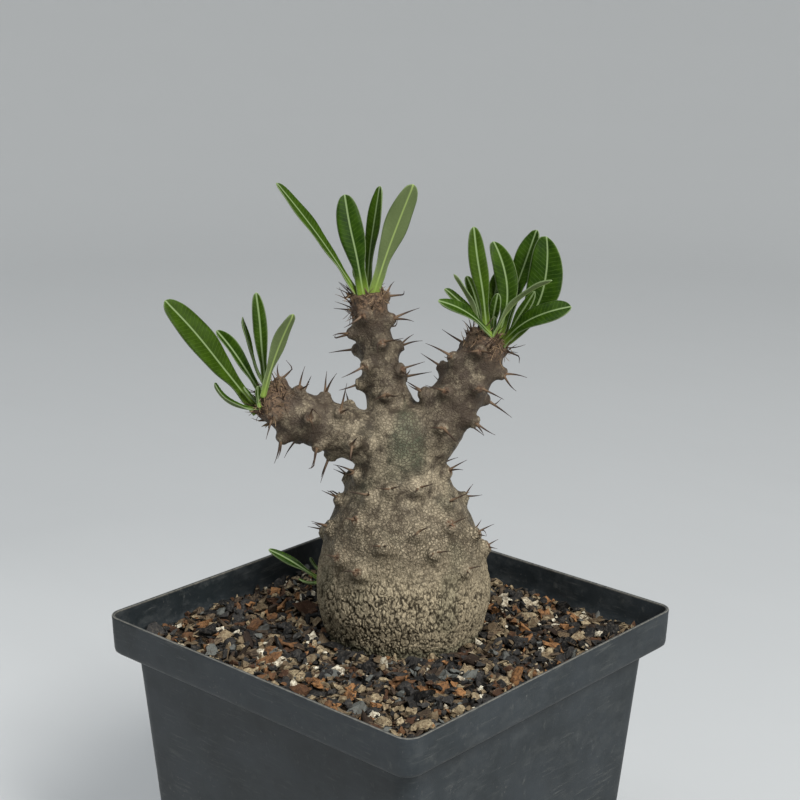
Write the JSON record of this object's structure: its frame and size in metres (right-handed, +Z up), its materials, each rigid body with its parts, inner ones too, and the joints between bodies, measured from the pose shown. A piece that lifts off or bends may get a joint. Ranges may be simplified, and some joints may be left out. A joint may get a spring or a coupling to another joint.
{
  "type": "potted pachypodium",
  "caption": "Spiny swollen caudex with upright branches, each topped by a tuft of strap leaves, in a square plastic nursery pot filled with gritty soil.",
  "frame": {"origin": "middle of the pot's underside, on the surface that it stands on", "axes": "+Z up along the pot; +X and +Y along the pot's sides, so the viewer's side of the plant is towards +X and -Y"},
  "size_m": [0.101, 0.101, 0.201],
  "materials": {
    "pot_plastic": "matte dark plastic with dust and scuffs",
    "soil": "loose dark gritty mix",
    "caudex_bark": "dry grey-brown bark with fine cracks",
    "leaf": "satin green leaf with a pale midrib",
    "pumice": "matte porous cream stone",
    "fired_clay": "matte orange-brown fired clay",
    "lava": "matte porous black stone",
    "bark_chip": "matte brown bark chip"
  },
  "bodies": {
    "root": {"caudex_and_branches": "caudex_bark", "clay_stone_1": "fired_clay", "clay_stone_2": "fired_clay", "clay_stone_3": "fired_clay", "clay_stone_4": "fired_clay", "clay_stone_5": "fired_clay", "clay_stone_6": "fired_clay", "flank_leaf": "leaf", "flank_scale_1": "leaf", "flank_scale_2": "leaf", "lava_stone_1": "lava", "lava_stone_2": "lava", "lava_stone_3": "lava", "lava_stone_4": "lava", "lava_stone_5": "lava", "left_leaf_01": "leaf", "left_leaf_02": "leaf", "left_leaf_03": "leaf", "left_leaf_04": "leaf", "left_leaf_05": "leaf", "left_leaf_06": "leaf", "left_leaf_07": "leaf", "left_leaf_08": "leaf", "middle_leaf_01": "leaf", "middle_leaf_02": "leaf", "middle_leaf_03": "leaf", "middle_leaf_04": "leaf", "middle_leaf_05": "leaf", "pot": "pot_plastic", "pumice_stone_1": "pumice", "pumice_stone_2": "pumice", "pumice_stone_3": "pumice", "pumice_stone_4": "pumice", "pumice_stone_5": "pumice", "pumice_stone_6": "pumice", "pumice_stone_7": "pumice", "right_leaf_01": "leaf", "right_leaf_02": "leaf", "right_leaf_03": "leaf", "right_leaf_04": "leaf", "right_leaf_05": "leaf", "right_leaf_06": "leaf", "right_leaf_07": "leaf", "right_leaf_08": "leaf", "right_leaf_09": "leaf", "right_leaf_10": "leaf", "right_leaf_11": "leaf", "right_leaf_12": "leaf", "right_leaf_13": "leaf", "right_leaf_14": "leaf", "soil": "soil", "wood_stone_1": "bark_chip", "wood_stone_2": "bark_chip", "wood_stone_3": "bark_chip"}
  },
  "joints": []
}
